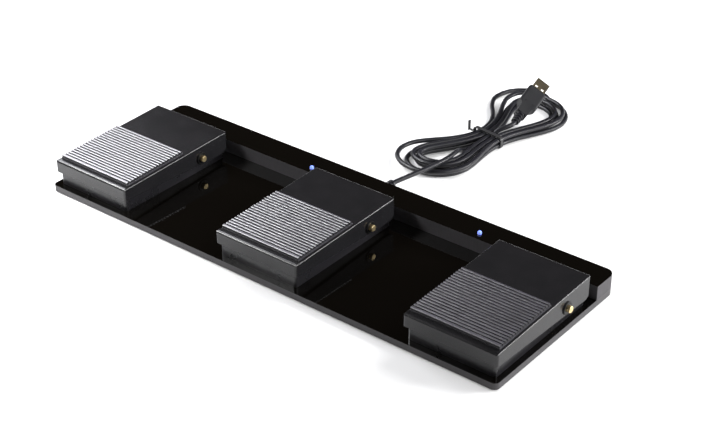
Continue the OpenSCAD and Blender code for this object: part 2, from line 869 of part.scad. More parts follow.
module switch_plunger_shape() {
    color(white_plastic) {
        upright(switch_x, switch_y, plunger_bottom, plunger_top - plunger_d / 2, plunger_d);
        translate([switch_x, switch_y, plunger_top - plunger_d / 2])
            sphere(d = plunger_d);
    }
}

// pedal leads
module switch_lead_shape(side) {
    x = side * pedal_pitch + switch_x;
    start = switch_y + switch_w / 2;
    bend_y = lead_row - lead_turn;
    color(dark_rubber)
        if (side == 0)
            along_y(start, pcb_front, x, lead_z, lead_d);
        else {
            along_y(start, bend_y, x, lead_z, lead_d);
            translate([x - side * lead_turn, bend_y, lead_z])
                rotate([0, 0, side < 0 ? 90 : 0])
                    rotate_extrude(angle = 90)
                        translate([lead_turn, 0])
                            circle(d = lead_d);
            if (side < 0)
                along_x(x + lead_turn, pcb_left, lead_row, lead_z, lead_d);
            else
                along_x(pcb_right, x - lead_turn, lead_row, lead_z, lead_d);
        }
}

// cable
module cable_inner() {
    color(dark_rubber)
        along_y(usb_socket_rear, plate_rear - frame_wall - boot_lip_t, boot_x, boot_z, cord_d - 0.6);
}

// outline of a sleeve of raised rings that changes its radius along its length
function ringed(length, from_r, to_r, rings) =
    let (ring = (length - (rings - 1) * ring_gap) / rings)
    concat(
        [[0, 0]],
        [for (i = [0 : rings - 1]) each
            let (r = from_r + (to_r - from_r) * i / (rings - 1), y = i * (ring + ring_gap))
            concat(
                [[r - ring_round, y], [r, y + ring_round]],
                [[r, y + ring - ring_round], [r - ring_round, y + ring]],
                i < rings - 1 ? [[r - ring_cut, y + ring], [r - ring_cut, y + ring + ring_gap]] : []
            )],
        [[0, length]]
    );

module cable_boot() {
    color(dark_rubber) {
        along_y(plate_rear - frame_wall - boot_lip_t, plate_rear - frame_wall, boot_x, boot_z, boot_lip);
        along_y(plate_rear - frame_wall - 0.01, plate_rear + 0.01, boot_x, boot_z, boot_neck);
        translate([boot_x, plate_rear, boot_z])
            rotate([-90, 0, 0])
                rotate_extrude()
                    polygon(ringed(boot_len, boot_d / 2, boot_tip_d / 2, boot_rings));
    }
}

module cable_lead() {
    color(dark_rubber)
        tube(lead_points, cord_d, 8);
}

module cable_hank() {
    color(dark_rubber)
        tube(hank_points, cord_d, 6);
}

module cable_tail() {
    color(dark_rubber)
        tube(tail_points, cord_d, 8);
}

// the tie goes round the waist of the hank
waist_low = hank_bow - hank_waist - hank_step * floor(hank_loops / 2);
waist_high = hank_bow + hank_waist + hank_step * hank_loops / 2;
tie_in_w = waist_high - waist_low + cord_d + 0.3;
tie_in_h = hank_layer + cord_d + 0.3;
tie_z = hank_lift + (hank_layer + cord_d) / 2;

module tie_ring(grow) {
    r = cord_d / 2 + 0.15 + grow;
    rounded_plan(tie_in_w + 2 * grow, tie_in_h + 2 * grow, r);
}

module cable_tie() {
    color(black_plastic)
        translate([hank_centre[0], hank_centre[1], tie_z])
            rotate([0, 0, hank_turn])
                translate([-(waist_low + waist_high) / 2, tie_w / 2, 0]) {
                    rotate([90, 0, 0])
                        linear_extrude(height = tie_w)
                            difference() {
                                tie_ring(tie_t);
                                tie_ring(0);
                            }
                    translate([-tie_in_w / 2 - tie_t / 2, -tie_w / 2, 0])
                        rotate([0, -90, 0])
                            cylinder(h = twist_len, d = twist_d);
                    translate([-tie_in_w / 2 - tie_t / 2 - twist_len, -tie_w / 2, -twist_d / 2])
                        translate([-tie_t / 2, -strip_w / 2, 0])
                            cube([tie_t, strip_w, strip_h]);
                }
}

// the plug, drawn along its own axis from the end of the cable
module at_plug() {
    translate(plug_from)
        rotate([0, 0, plug_turn])
            rotate([plug_pitch, 0, 0])
                rotate([0, plug_roll, 0])
                    children();
}

module plug_relief() {
    color(dark_rubber)
        at_plug()
            rotate([-90, 0, 0])
                rotate_extrude()
                    polygon(ringed(relief_len, relief_from_d / 2, relief_to_d / 2, relief_rings));
}

grip_front = relief_len + grip_len;

// half of the grip's outline, from its neck to its front
neck_end = relief_len + neck_len;
grip_side = [
    [neck_w / 2 - grip_bevel, relief_len], [neck_w / 2, relief_len + grip_bevel],
    [neck_w / 2, neck_end], [grip_w / 2 - grip_bevel, neck_end + shoulder_len - grip_bevel],
    [grip_w / 2, neck_end + shoulder_len], [grip_w / 2, grip_front - grip_bevel],
    [grip_w / 2 - grip_bevel, grip_front]
];

module grip_plan() {
    polygon(concat(
        grip_side,
        [for (i = [len(grip_side) - 1 : -1 : 0]) [-grip_side[i][0], grip_side[i][1]]]
    ));
}

module plug_grip() {
    color(black_plastic)
        at_plug()
            difference() {
                intersection() {
                    translate([0, 0, -grip_t])
                        linear_extrude(height = 2 * grip_t)
                            grip_plan();
                    translate([0, grip_front + 1, 0])
                        rotate([90, 0, 0])
                            linear_extrude(height = grip_len + 2)
                                rounded_plan(grip_w, grip_t, grip_round);
                }
                translate([-shell_w / 2, grip_front - shell_in, -shell_t / 2])
                    cube([shell_w, shell_in + 1, shell_t]);
                for (sx = [-1, 1])
                    upright(sx * dimple_side, relief_len + dimple_in, grip_t / 2 - dimple_deep, grip_t,
                        dimple_d);
            }
}

module plug_shell() {
    color(steel)
        at_plug()
            difference() {
                translate([-shell_w / 2, grip_front - shell_in, -shell_t / 2])
                    cube([shell_w, shell_in + shell_len, shell_t]);
                translate([-shell_w / 2 + shell_wall, grip_front - shell_in - 1, -shell_t / 2 + shell_wall])
                    cube([shell_w - 2 * shell_wall, shell_in + shell_len + 2, shell_t - 2 * shell_wall]);
                for (sx = [-1, 1])
                    translate([sx * window_side - window[0] / 2, grip_front + window_in, -shell_t])
                        cube([window[0], window[1], 2 * shell_t]);
            }
}

tongue_w = shell_w - 2 * shell_wall;
tongue_low = 0.1;
tongue_high = shell_t / 2 - shell_wall;

module plug_tongue() {
    color(white_plastic)
        at_plug()
            translate([-tongue_w / 2, grip_front - shell_in, tongue_low])
                cube([tongue_w, shell_in + shell_len - 0.8, tongue_high - tongue_low]);
}

module plug_contacts() {
    color(brass)
        at_plug()
            for (x = [-3.5, -1, 1, 3.5])
                translate([x - 0.5, grip_front + 1, tongue_low - 0.25])
                    cube([1, shell_len - 3, 0.25]);
}

// one pedal's pieces are repeated along the board
module at_pedal(side) {
    translate([side * pedal_pitch, 0, 0])
        children();
}

module left_tray() at_pedal(-1) tray_shape();
module left_tray_screws() at_pedal(-1) tray_screws_shape();
module left_axle() at_pedal(-1) axle_shape();
module left_switch_body() at_pedal(-1) switch_body_shape();
module left_switch_lead() switch_lead_shape(-1);
module left_return_spring() at_pedal(-1) return_spring_shape();
module left_stop_bumpers() at_pedal(-1) stop_bumpers_shape();
module left_cover() at_pedal(-1) cover_shape();
module left_tread_pad() at_pedal(-1) tread_pad_shape();
module left_pivot_bushings() at_pedal(-1) pivot_bushings_shape();
module left_switch_plunger() at_pedal(-1) switch_plunger_shape();

module middle_tray() at_pedal(0) tray_shape();
module middle_tray_screws() at_pedal(0) tray_screws_shape();
module middle_axle() at_pedal(0) axle_shape();
module middle_switch_body() at_pedal(0) switch_body_shape();
module middle_switch_lead() switch_lead_shape(0);
module middle_return_spring() at_pedal(0) return_spring_shape();
module middle_stop_bumpers() at_pedal(0) stop_bumpers_shape();
module middle_cover() at_pedal(0) cover_shape();
module middle_tread_pad() at_pedal(0) tread_pad_shape();
module middle_pivot_bushings() at_pedal(0) pivot_bushings_shape();
module middle_switch_plunger() at_pedal(0) switch_plunger_shape();

module right_tray() at_pedal(1) tray_shape();
module right_tray_screws() at_pedal(1) tray_screws_shape();
module right_axle() at_pedal(1) axle_shape();
module right_switch_body() at_pedal(1) switch_body_shape();
module right_switch_lead() switch_lead_shape(1);
module right_return_spring() at_pedal(1) return_spring_shape();
module right_stop_bumpers() at_pedal(1) stop_bumpers_shape();
module right_cover() at_pedal(1) cover_shape();
module right_tread_pad() at_pedal(1) tread_pad_shape();
module right_pivot_bushings() at_pedal(1) pivot_bushings_shape();
module right_switch_plunger() at_pedal(1) switch_plunger_shape();

base_plate();
rubber_feet();
housing_frame();
housing_lid();
housing_screws();
board_pads();
circuit_board();
controller_chip();
board_connectors();
indicator_leds();
left_tray();
left_tray_screws();
left_axle();
left_switch_body();
left_switch_lead();
left_return_spring();
left_stop_bumpers();
left_cover();
left_tread_pad();
left_pivot_bushings();
left_switch_plunger();
middle_tray();
middle_tray_screws();
middle_axle();
middle_switch_body();
middle_switch_lead();
middle_return_spring();
middle_stop_bumpers();
middle_cover();
middle_tread_pad();
middle_pivot_bushings();
middle_switch_plunger();
right_tray();
right_tray_screws();
right_axle();
right_switch_body();
right_switch_lead();
right_return_spring();
right_stop_bumpers();
right_cover();
right_tread_pad();
right_pivot_bushings();
right_switch_plunger();
cable_inner();
cable_boot();
cable_lead();
cable_hank();
cable_tail();
cable_tie();
plug_relief();
plug_grip();
plug_shell();
plug_tongue();
plug_contacts();
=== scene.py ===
"""Camera, cable, springs, finishes and light for the triple foot pedal switch."""

from math import cos, pi, radians, sin

import bpy
from mathutils import Matrix, Vector


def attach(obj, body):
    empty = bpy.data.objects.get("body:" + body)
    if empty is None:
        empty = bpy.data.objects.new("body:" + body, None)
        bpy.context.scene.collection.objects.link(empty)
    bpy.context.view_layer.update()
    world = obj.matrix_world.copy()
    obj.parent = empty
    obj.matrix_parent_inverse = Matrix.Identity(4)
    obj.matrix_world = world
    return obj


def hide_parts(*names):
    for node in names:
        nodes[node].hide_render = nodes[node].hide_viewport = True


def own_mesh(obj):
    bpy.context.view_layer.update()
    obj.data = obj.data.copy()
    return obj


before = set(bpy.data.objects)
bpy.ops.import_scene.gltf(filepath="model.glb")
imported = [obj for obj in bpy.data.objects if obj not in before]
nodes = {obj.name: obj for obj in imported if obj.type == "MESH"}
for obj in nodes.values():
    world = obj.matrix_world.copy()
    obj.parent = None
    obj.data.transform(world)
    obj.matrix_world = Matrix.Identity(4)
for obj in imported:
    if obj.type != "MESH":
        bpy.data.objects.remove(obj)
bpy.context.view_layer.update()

scene = bpy.context.scene
SIDES = ("left", "middle", "right")
MM = 0.001


# The camera of the photograph: its place in m, its angles in radians, and its lens and sensor in mm.
CAMERA_PLACE = Vector((0.6283, -0.7458, 0.6051))
CAMERA_YAW = 0.6731
CAMERA_ELEVATION = 0.5439
CAMERA_ROLL = -0.002
CAMERA_LENS = 80.27
SENSOR_WIDTH = 36.0
NEAREST_SEEN = 0.01


def add_camera(place, yaw, elevation, roll):
    """A camera at place, turned left by yaw, down by elevation and about its own axis by roll."""
    data = bpy.data.cameras.new("camera")
    data.sensor_fit = "HORIZONTAL"
    data.sensor_width = SENSOR_WIDTH
    data.lens = CAMERA_LENS
    data.clip_start = NEAREST_SEEN
    camera = bpy.data.objects.new("camera", data)
    scene.collection.objects.link(camera)
    forward = Vector((-sin(yaw) * cos(elevation), cos(yaw) * cos(elevation), -sin(elevation)))
    right = Vector((cos(yaw), sin(yaw), 0.0))
    up = right.cross(forward)
    across = right * cos(roll) + up * sin(roll)
    over = up * cos(roll) - right * sin(roll)
    turn = Matrix((across, over, -forward)).transposed().to_4x4()
    camera.matrix_world = Matrix.Translation(place) @ turn
    scene.camera = camera


add_camera(CAMERA_PLACE, CAMERA_YAW, CAMERA_ELEVATION, CAMERA_ROLL)


# The hank, in mm as in the part's source. Its loops are counted, and its angles are in degrees along it.
CORD_D = 3.8
HANK_CENTRE = Vector((4.0, 198.0))
HANK_TURN = radians(-8.0)
HANK_HALF = 68.5
HANK_HALF_FAR = 6.0
HANK_WAIST = 1.15
HANK_BULGE = 35.0
HANK_BULGE_FAR = 6.0
HANK_BOW = -10.0
HANK_STEP = 4.85
HANK_LOOPS = 5
HANK_LAYER = 4.35
HANK_LIFT = 1.0
LOOP_POINTS = 36
HALF_DEGREE = 0.5

# How much slacker the outermost loop is: all over, at the near end, and at one side of the far end.
# The slack starts SLACK_FROM loops out and is full SLACK_OVER loops later. FAR_PEAK is the most that the
# far side's formula gives, which brings its slack to SLACK_FAR.
SLACK_ALL = 3.0
SLACK_NEAR = 5.5
SLACK_FAR = 14.0
SLACK_FROM = 1.4
SLACK_OVER = 0.7
FAR_PEAK = 0.238

# The free lead: from the boot over a crest to a low point in the hank's own plan, and into the hank.
# A pull is how strongly the curve keeps to its direction at a point.
CORD_STUB = 1.0
LEAD_FROM = Vector((2.0, 84.5, 9.0))
LEAD_WAY = Vector((13.0, 38.0, 6.0))
LEAD_CREST = Vector((14.0, 146.0, 11.5))
CREST_WAY = Vector((-5.0, 44.0, 0.0))
CREST_PULL = 50.0
LOW_PLAN = Vector((-22.0, -8.0))
LOW_HEIGHT = 2.4
LOW_WAY = Vector((1.0, -0.12))
LOW_PULL_IN = 40.0
LOW_PULL_OUT = 20.0
CREST_STEPS = 7
FALL_STEPS = 6
ENTRY_STEPS = 3

# The free tail: up from the waist to the plug, which leans over the far loops.
TAIL_PULL = 16.0
TAIL_RISE = 12.0
TAIL_STEPS = 8
PLUG_FROM = Vector((23.5, 218.3, 13.5))
PLUG_TURN = radians(9.5)
PLUG_PITCH = radians(10.5)
PLUG_PULL = 22.0

# How finely the curve is divided, round the cable and between two of its points.
ROUND_RESOLUTION = 4
LENGTH_RESOLUTION = 3


def loop_plain(a):
    """A point of one loop of the hank, before it is set beside the loop inside it."""
    s, c = sin(radians(a)), cos(radians(a))
    bulge = HANK_WAIST + (HANK_BULGE + HANK_BULGE_FAR * s) * s * s
    return Vector(((HANK_HALF + HANK_HALF_FAR * s) * s, -c * bulge + HANK_BOW * c * c))


def turn_plan(p):
    """A point of the hank's own plan, in the part's plan."""
    s, c = sin(HANK_TURN), cos(HANK_TURN)
    return Vector((HANK_CENTRE.x - p.x * s - p.y * c, HANK_CENTRE.y + p.x * c - p.y * s))


def smooth(t):
    """Goes from 0 to 1 with level ends."""
    t = min(max(t, 0.0), 1.0)
    return t * t * (3 - 2 * t)


def loop_offset(a):
    """How far a loop lies outside the first one. The outermost loop is slacker than the rest."""
    s, c = sin(radians(a)), cos(radians(a))
    slack = SLACK_ALL * s * s + SLACK_NEAR * max(0.0, -s) ** 3
    slack += SLACK_FAR / FAR_PEAK * max(0.0, s) ** 6 * max(0.0, -c)
    loops = min(a, 360 * HANK_LOOPS - a) / 360
    return HANK_STEP * loops + slack * smooth((loops - SLACK_FROM) / SLACK_OVER)


def hank_point(a):
    """The cable's middle at angle a along the hank, from 0 to 360 times the loops."""
    way = (loop_plain(a + HALF_DEGREE) - loop_plain(a - HALF_DEGREE)).normalized()
    flat = turn_plan(loop_plain(a) + Vector((way.y, -way.x)) * loop_offset(a))
    layer = HANK_LAYER * smooth((a - 180 * HANK_LOOPS + 90) / 180)
    return Vector((flat.x, flat.y, CORD_D / 2 + layer + HANK_LIFT * cos(radians(a)) ** 8))


def hermite(p, p_way, q, q_way, steps):
    """Points from p to q, leaving along p_way and arriving along q_way. The last one is left out."""
    points = []
    for i in range(steps):
        t = i / steps
        points.append(
            p * (2 * t**3 - 3 * t**2 + 1)
            + p_way * (t**3 - 2 * t**2 + t)
            + q * (3 * t**2 - 2 * t**3)
            + q_way * (t**3 - t**2)
        )
    return points


def plug_direction():
    """The way that the plug points, which is also how the cable meets it."""
    level = cos(PLUG_PITCH)
    return Vector((-sin(PLUG_TURN) * level, cos(PLUG_TURN) * level, sin(PLUG_PITCH)))


def lead_points(hank_in, hank_way):
    """The free lead, from the boot to the hank's first end."""
    start = LEAD_FROM + Vector((0.0, CORD_STUB, 0.0))
    crest_way = CREST_WAY.normalized() * CREST_PULL
    low = turn_plan(LOW_PLAN).to_3d() + Vector((0.0, 0.0, LOW_HEIGHT))
    low_way = (turn_plan(LOW_WAY) - HANK_CENTRE).to_3d()
    entry = hank_in - hank_way * CORD_STUB
    lead = [LEAD_FROM] + hermite(start, LEAD_WAY, LEAD_CREST, crest_way, CREST_STEPS)
    lead += hermite(LEAD_CREST, crest_way, low, low_way * LOW_PULL_IN, FALL_STEPS)
    lead += hermite(low, low_way * LOW_PULL_OUT, entry, hank_way * LOW_PULL_OUT, ENTRY_STEPS)
    return lead + [entry, hank_in]


def tail_points(hank_out, hank_way):
    """The free tail, from the hank's last end to the plug."""
    plug_way = plug_direction()
    rise = hank_way * TAIL_PULL + Vector((0.0, 0.0, TAIL_RISE))
    start = hank_out + hank_way * CORD_STUB
    end = PLUG_FROM - plug_way * CORD_STUB
    return [hank_out] + hermite(start, rise, end, plug_way * PLUG_PULL, TAIL_STEPS) + [end, PLUG_FROM]


def cable_points():
    """The whole free cable, from the boot to the plug."""
    hank = [hank_point(360 / LOOP_POINTS * i) for i in range(LOOP_POINTS * HANK_LOOPS + 1)]
    hank_way = Vector((-sin(HANK_TURN), cos(HANK_TURN), 0.0))
    lead = lead_points(hank[0] - hank_way * CORD_D, hank_way)
    tail = tail_points(hank[-1] + hank_way * CORD_D, hank_way)
    return lead + hank + tail


def add_cable():
    """The cable as one round curve through its points."""
    data = bpy.data.curves.new("cable", "CURVE")
    data.dimensions = "3D"
    data.bevel_depth = 1.0
    data.bevel_resolution = ROUND_RESOLUTION
    data.resolution_u = LENGTH_RESOLUTION
    points = cable_points()
    spline = data.splines.new("BEZIER")
    spline.bezier_points.add(len(points) - 1)
    for knot, point in zip(spline.bezier_points, points):
        knot.co = point * MM
        knot.radius = CORD_D / 2 * MM
        knot.handle_left_type = knot.handle_right_type = "AUTO"
    cable = bpy.data.objects.new("cable", data)
    scene.collection.objects.link(cable)
    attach(cable, "base")
    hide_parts("cable_lead", "cable_hank", "cable_tail")


add_cable()


def add_spring(side):
    """A copy of a pedal's return spring, fixed to the base in place of the CAD node."""
    node = nodes[f"{side}_return_spring"]
    spring = bpy.data.objects.new(f"{side}_spring", node.data.copy())
    scene.collection.objects.link(spring)
    spring.matrix_world = node.matrix_world
    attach(spring, "base")
    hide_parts(node.name)
    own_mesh(spring)


for pedal_side in SIDES:
    add_spring(pedal_side)


# Inputs and outputs of a mix node, for colours and for numbers.
COLOUR_A, COLOUR_B, COLOUR_OUT = 6, 7, 2
NUMBER_A, NUMBER_B, NUMBER_OUT = 2, 3, 0

# A scale is how many patches of a noise there are to a metre. A span is where an effect starts and is full.
# Most of a noise lies within NOISE_SPAN.
NOISE_SPAN = (0.3, 0.7)
EVEN = (1.0, 1.0, 1.0)
WHITE = (1.0, 1.0, 1.0)
PATCH_SCALE = 70.0
PATCH_DETAIL = 4.0
GRAIN_DETAIL = 2.0


def finish_of(name, base, roughness, metallic=0.0, specular=0.5):
    """An even finish, which the functions below give its detail."""
    material = bpy.data.materials.new(name)
    material.use_nodes = True
    shader = shader_of(material)
    shader.inputs["Base Color"].default_value = (*base, 1.0)
    shader.inputs["Roughness"].default_value = roughness
    shader.inputs["Metallic"].default_value = metallic
    shader.inputs["Specular IOR Level"].default_value = specular
    return material


def shader_of(material):
    """The material's main shader."""
    return material.node_tree.nodes["Principled BSDF"]


def add_glow(material, colour, strength):
    """Makes a material shine by itself."""
    shader_of(material).inputs["Emission Color"].default_value = (*colour, 1.0)
    shader_of(material).inputs["Emission Strength"].default_value = strength


def add_node(material, kind, **values):
    """A new node of a material, with its inputs set by name."""
    node = material.node_tree.nodes.new(kind)
    for name, value in values.items():
        node.inputs[name.replace("_", " ")].default_value = value
    return node


def join(material, source, target):
    """Links an output to an input."""
    material.node_tree.links.new(source, target)


def place_of(material, stretch=EVEN):
    """Places on the piece itself, in metres, which stay with it as it moves."""
    where = add_node(material, "ShaderNodeTexCoord")
    scaled = add_node(material, "ShaderNodeMapping", Scale=stretch)
    join(material, where.outputs["Object"], scaled.inputs["Vector"])
    return scaled.outputs["Vector"]


def noise(material, scale, detail, stretch=EVEN):
    """Noise with about this many patches to a metre."""
    node = add_node(material, "ShaderNodeTexNoise", Scale=scale, Detail=detail)
    join(material, place_of(material, stretch), node.inputs["Vector"])
    return node.outputs["Fac"]


def spread(material, factor, low, high, span=NOISE_SPAN):
    """Takes a factor within a span to a value between low and high."""
    node = add_node(
        material,
        "ShaderNodeMapRange",
        From_Min=span[0],
        From_Max=span[1],
        To_Min=low,
        To_Max=high,
    )
    join(material, factor, node.inputs["Value"])
    return node.outputs["Result"]


def blend(material, factor, first, second):
    """A colour between two colours. Either may be an output."""
    node = material.node_tree.nodes.new("ShaderNodeMix")
    node.data_type = "RGBA"
    join(material, factor, node.inputs["Factor"])
    for socket, colour in ((node.inputs[COLOUR_A], first), (node.inputs[COLOUR_B], second)):
        if isinstance(colour, tuple):
            socket.default_value = (*colour, 1.0)
        else:
            join(material, colour, socket)
    return node.outputs[COLOUR_OUT]


def facing_up(material):
    """How far the surface faces up, from -1 to 1."""
    normal = add_node(material, "ShaderNodeNewGeometry")
    parts = add_node(material, "ShaderNodeSeparateXYZ")
    join(material, normal.outputs["Normal"], parts.inputs["Vector"])
    return parts.outputs["Z"]


def grain(material, height, depth):
    """Raises the surface by a height, depth metres from its lowest to its highest."""
    bump = add_node(material, "ShaderNodeBump", Distance=depth)
    join(material, height, bump.inputs["Height"])
    join(material, bump.outputs["Normal"], shader_of(material).inputs["Normal"])


def textured(name, base, other, rough, scale, depth, metallic=0.0, specular=0.5):
    """A finish whose colour and gloss vary in patches, with a fine grain of this scale and depth."""
    material = finish_of(name, base, rough[0], metallic, specular)
    shader = shader_of(material)
    patches = noise(material, PATCH_SCALE, PATCH_DETAIL)
    colour = blend(material, spread(material, patches, 0.0, 1.0), base, other)
    join(material, colour, shader.inputs["Base Color"])
    join(material, spread(material, patches, *rough), shader.inputs["Roughness"])
    grain(material, noise(material, scale, GRAIN_DETAIL), depth)
    return material


# Cast sheet: from an edge to a level face, saw marks drawn out along the height, and smears.
LEVEL_SPAN = (0.75, 0.95)
SAW_SCALE = 2200.0
SAW_STRETCH = (1.0, 1.0, 0.06)
SAW_PALER = 1.25
SMEAR_SCALE = 28.0
SMEAR_DETAIL = 5.0
SMEAR_SPAN = (0.45, 0.75)


def cut_sheet(name, face, edge, face_rough, edge_rough):
    """Cast sheet: polished on its level faces, with faint smears, and matt where it was cut."""
    material = finish_of(name, face, face_rough[0])
    shader = shader_of(material)
    upright = spread(material, facing_up(material), 1.0, 0.0, LEVEL_SPAN)
    streaks = noise(material, SAW_SCALE, GRAIN_DETAIL, SAW_STRETCH)
    paler = tuple(SAW_PALER * part for part in edge)
    sawn = blend(material, spread(material, streaks, 0.0, 1.0), edge, paler)
    join(material, blend(material, upright, face, sawn), shader.inputs["Base Color"])
    smears = spread(material, noise(material, SMEAR_SCALE, SMEAR_DETAIL), *face_rough, SMEAR_SPAN)
    rough = material.node_tree.nodes.new("ShaderNodeMix")
    join(material, upright, rough.inputs["Factor"])
    join(material, smears, rough.inputs[NUMBER_A])
    rough.inputs[NUMBER_B].default_value = edge_rough
    join(material, rough.outputs[NUMBER_OUT], shader.inputs["Roughness"])
    return material


# Ribbed rubber: its sheen; the painted shade between the ribs and on upright faces, with how far it looks
# for the rib walls, in m; and its wear and dust.
RUBBER_SPECULAR = 0.3
SHEEN_IOR = 2.4
SHEEN_TINT = (0.97, 0.96, 1.0)
SHADE_REACH = 0.003
SHADE_SAMPLES = 8
GAP_SHADE_SPAN = (0.1, 0.6)
UPRIGHT_SHADE_SPAN = (0.1, 0.6)
WEAR_SCALE = 90.0
WEAR_DETAIL = 5.0
WEAR_RANGE = (0.75, 1.2)
DUST_SCALE = 900.0
DUST_DETAIL = 1.0
DUST_RANGE = (0.0, 0.45)
DUST_SPAN = (0.7, 0.74)
DUST_COLOUR = (0.45, 0.44, 0.46)
GLOSS_SCALE = 140.0
GLOSS_DETAIL = 4.0
RUBBER_GRAIN_SCALE = 1500.0
RUBBER_GRAIN_DEPTH = 0.000015


def painted_shade_of(material):
    """Painted shade: from 0 between the ribs, found by ambient occlusion, and on upright faces, to 1 on top
    of a rib.
    """
    # Ambient occlusion paints shade between the ribs, and upright faces get painted shade as well.
    occlusion_shade = add_node(material, "ShaderNodeAmbientOcclusion", Distance=SHADE_REACH)
    occlusion_shade.samples = SHADE_SAMPLES
    both = add_node(material, "ShaderNodeMath")
    both.operation = "MULTIPLY"
    join(material, spread(material, occlusion_shade.outputs["AO"], 0.0, 1.0, GAP_SHADE_SPAN), both.inputs[0])
    join(material, spread(material, facing_up(material), 0.0, 1.0, UPRIGHT_SHADE_SPAN), both.inputs[1])
    return both.outputs["Value"]


def ribbed_rubber(name, top, painted_gap_shade, rough):
    """Grey rubber with painted shade between the ribs and on its sides, a sheen and some dust on top. The
    painted shade also takes the sheen off the space between the ribs and off the sides.
    """
    material = finish_of(name, top, rough[0], specular=RUBBER_SPECULAR)
    shader = shader_of(material)
    shader.inputs["Coat IOR"].default_value = SHEEN_IOR
    shader.inputs["Coat Roughness"].default_value = rough[0]
    shader.inputs["Coat Tint"].default_value = (*SHEEN_TINT, 1.0)
    tone = add_node(material, "ShaderNodeVectorMath")
    tone.operation = "SCALE"
    tone.inputs[0].default_value = top
    worn = spread(material, noise(material, WEAR_SCALE, WEAR_DETAIL), *WEAR_RANGE)
    join(material, worn, tone.inputs["Scale"])
    specks = spread(material, noise(material, DUST_SCALE, DUST_DETAIL), *DUST_RANGE, DUST_SPAN)
    dusty = blend(material, specks, tone.outputs["Vector"], DUST_COLOUR)
    # Painted shade: the darker colour goes between the ribs and on upright faces, and the sheen stays on
    # the rib tops.
    painted_shade_mask = painted_shade_of(material)
    join(material, blend(material, painted_shade_mask, painted_gap_shade, dusty), shader.inputs["Base Color"])
    join(material, painted_shade_mask, shader.inputs["Coat Weight"])
    gloss = spread(material, noise(material, GLOSS_SCALE, GLOSS_DETAIL), *rough)
    join(material, gloss, shader.inputs["Roughness"])
    grain(material, noise(material, RUBBER_GRAIN_SCALE, GRAIN_DETAIL), RUBBER_GRAIN_DEPTH)
    return material


def dress(material, *names):
    """Gives CAD nodes, or the scene's own pieces, a finish."""
    for name in names:
        piece = nodes[name] if name in nodes else bpy.data.objects[name]
        if not piece.material_slots:
            piece.data.materials.append(material)
        for slot in piece.material_slots:
            slot.material = material


def each(*pieces):
    """The three pedals' nodes of these kinds."""
    return [f"{side}_{piece}" for side in SIDES for piece in pieces]


# The board and the housing. The housing's edges are paler and duller than the board's.
acrylic = cut_sheet(
    "black acrylic",
    face=(0.0012, 0.001, 0.0008),
    edge=(0.022, 0.0205, 0.0225),
    face_rough=(0.02, 0.05),
    edge_rough=0.4,
)
housing = cut_sheet(
    "housing acrylic",
    face=(0.0012, 0.001, 0.0008),
    edge=(0.033, 0.031, 0.034),
    face_rough=(0.02, 0.05),
    edge_rough=0.65,
)
dress(acrylic, "base_plate")
dress(housing, "housing_frame", "housing_lid")

# The pedals.
paint = textured(
    "black paint",
    base=(0.0065, 0.0065, 0.0072),
    other=(0.008, 0.0077, 0.0086),
    rough=(0.21, 0.24),
    scale=1400.0,
    depth=0.00002,
    specular=0.45,
)
tray_paint = textured(
    "tray paint",
    base=(0.007, 0.007, 0.008),
    other=(0.009, 0.0085, 0.01),
    rough=(0.26, 0.32),
    scale=1400.0,
    depth=0.00002,
)
tread = ribbed_rubber(
    "ribbed rubber",
    top=(0.03, 0.028, 0.036),
    # This colour is painted shade, between the ribs and on the pad's upright faces.
    painted_gap_shade=(0.02, 0.0195, 0.022),
    rough=(0.38, 0.48),
)
bushing = textured(
    "bushing plastic",
    base=(0.004, 0.004, 0.004),
    other=(0.006, 0.006, 0.006),
    rough=(0.3, 0.4),
    scale=1100.0,
    depth=0.00002,
    specular=0.25,
)
brass = textured(
    "brass",
    base=(0.9, 0.74, 0.44),
    other=(0.8, 0.62, 0.33),
    rough=(0.4, 0.5),
    scale=2200.0,
    depth=0.00001,
    metallic=1.0,
)
dress(paint, *each("cover"))
dress(tray_paint, *each("tray"))
dress(tread, *each("tread_pad"))
dress(bushing, *each("pivot_bushings"))
dress(brass, *each("axle"), "plug_contacts")

# The cable and its plug.
jacket = textured(
    "cable jacket",
    base=(0.006, 0.006, 0.008),
    other=(0.01, 0.01, 0.0125),
    rough=(0.34, 0.42),
    scale=1600.0,
    depth=0.00003,
    specular=0.42,
)
grip = textured(
    "grip vinyl",
    base=(0.008, 0.008, 0.009),
    other=(0.011, 0.011, 0.012),
    rough=(0.42, 0.52),
    scale=1100.0,
    depth=0.00004,
    specular=0.35,
)
plug_steel = textured(
    "plug steel",
    base=(0.46, 0.4, 0.29),
    other=(0.38, 0.32, 0.22),
    rough=(0.34, 0.46),
    scale=1500.0,
    depth=0.00001,
    metallic=1.0,
)
dress(jacket, *each("switch_lead"), "cable", "cable_inner", "cable_boot", "plug_relief")
dress(grip, "plug_grip")
dress(plug_steel, "plug_shell")

# What is inside, and the small pieces.
plastic = textured(
    "black plastic",
    base=(0.016, 0.016, 0.017),
    other=(0.022, 0.022, 0.023),
    rough=(0.4, 0.5),
    scale=1100.0,
    depth=0.00004,
)
pale = textured(
    "pale plastic",
    base=(0.6, 0.58, 0.52),
    other=(0.55, 0.53, 0.47),
    rough=(0.35, 0.45),
    scale=900.0,
    depth=0.00002,
)
rubber = textured(
    "black rubber",
    base=(0.012, 0.012, 0.012),
    other=(0.02, 0.02, 0.02),
    rough=(0.65, 0.8),
    scale=900.0,
    depth=0.00006,
)
steel = textured(
    "steel",
    base=(0.58, 0.57, 0.55),
    other=(0.48, 0.47, 0.46),
    rough=(0.22, 0.34),
    scale=1800.0,
    depth=0.00001,
    metallic=1.0,
)
board = textured(
    "circuit board",
    base=(0.01, 0.08, 0.03),
    other=(0.014, 0.1, 0.04),
    rough=(0.3, 0.42),
    scale=700.0,
    depth=0.00002,
)
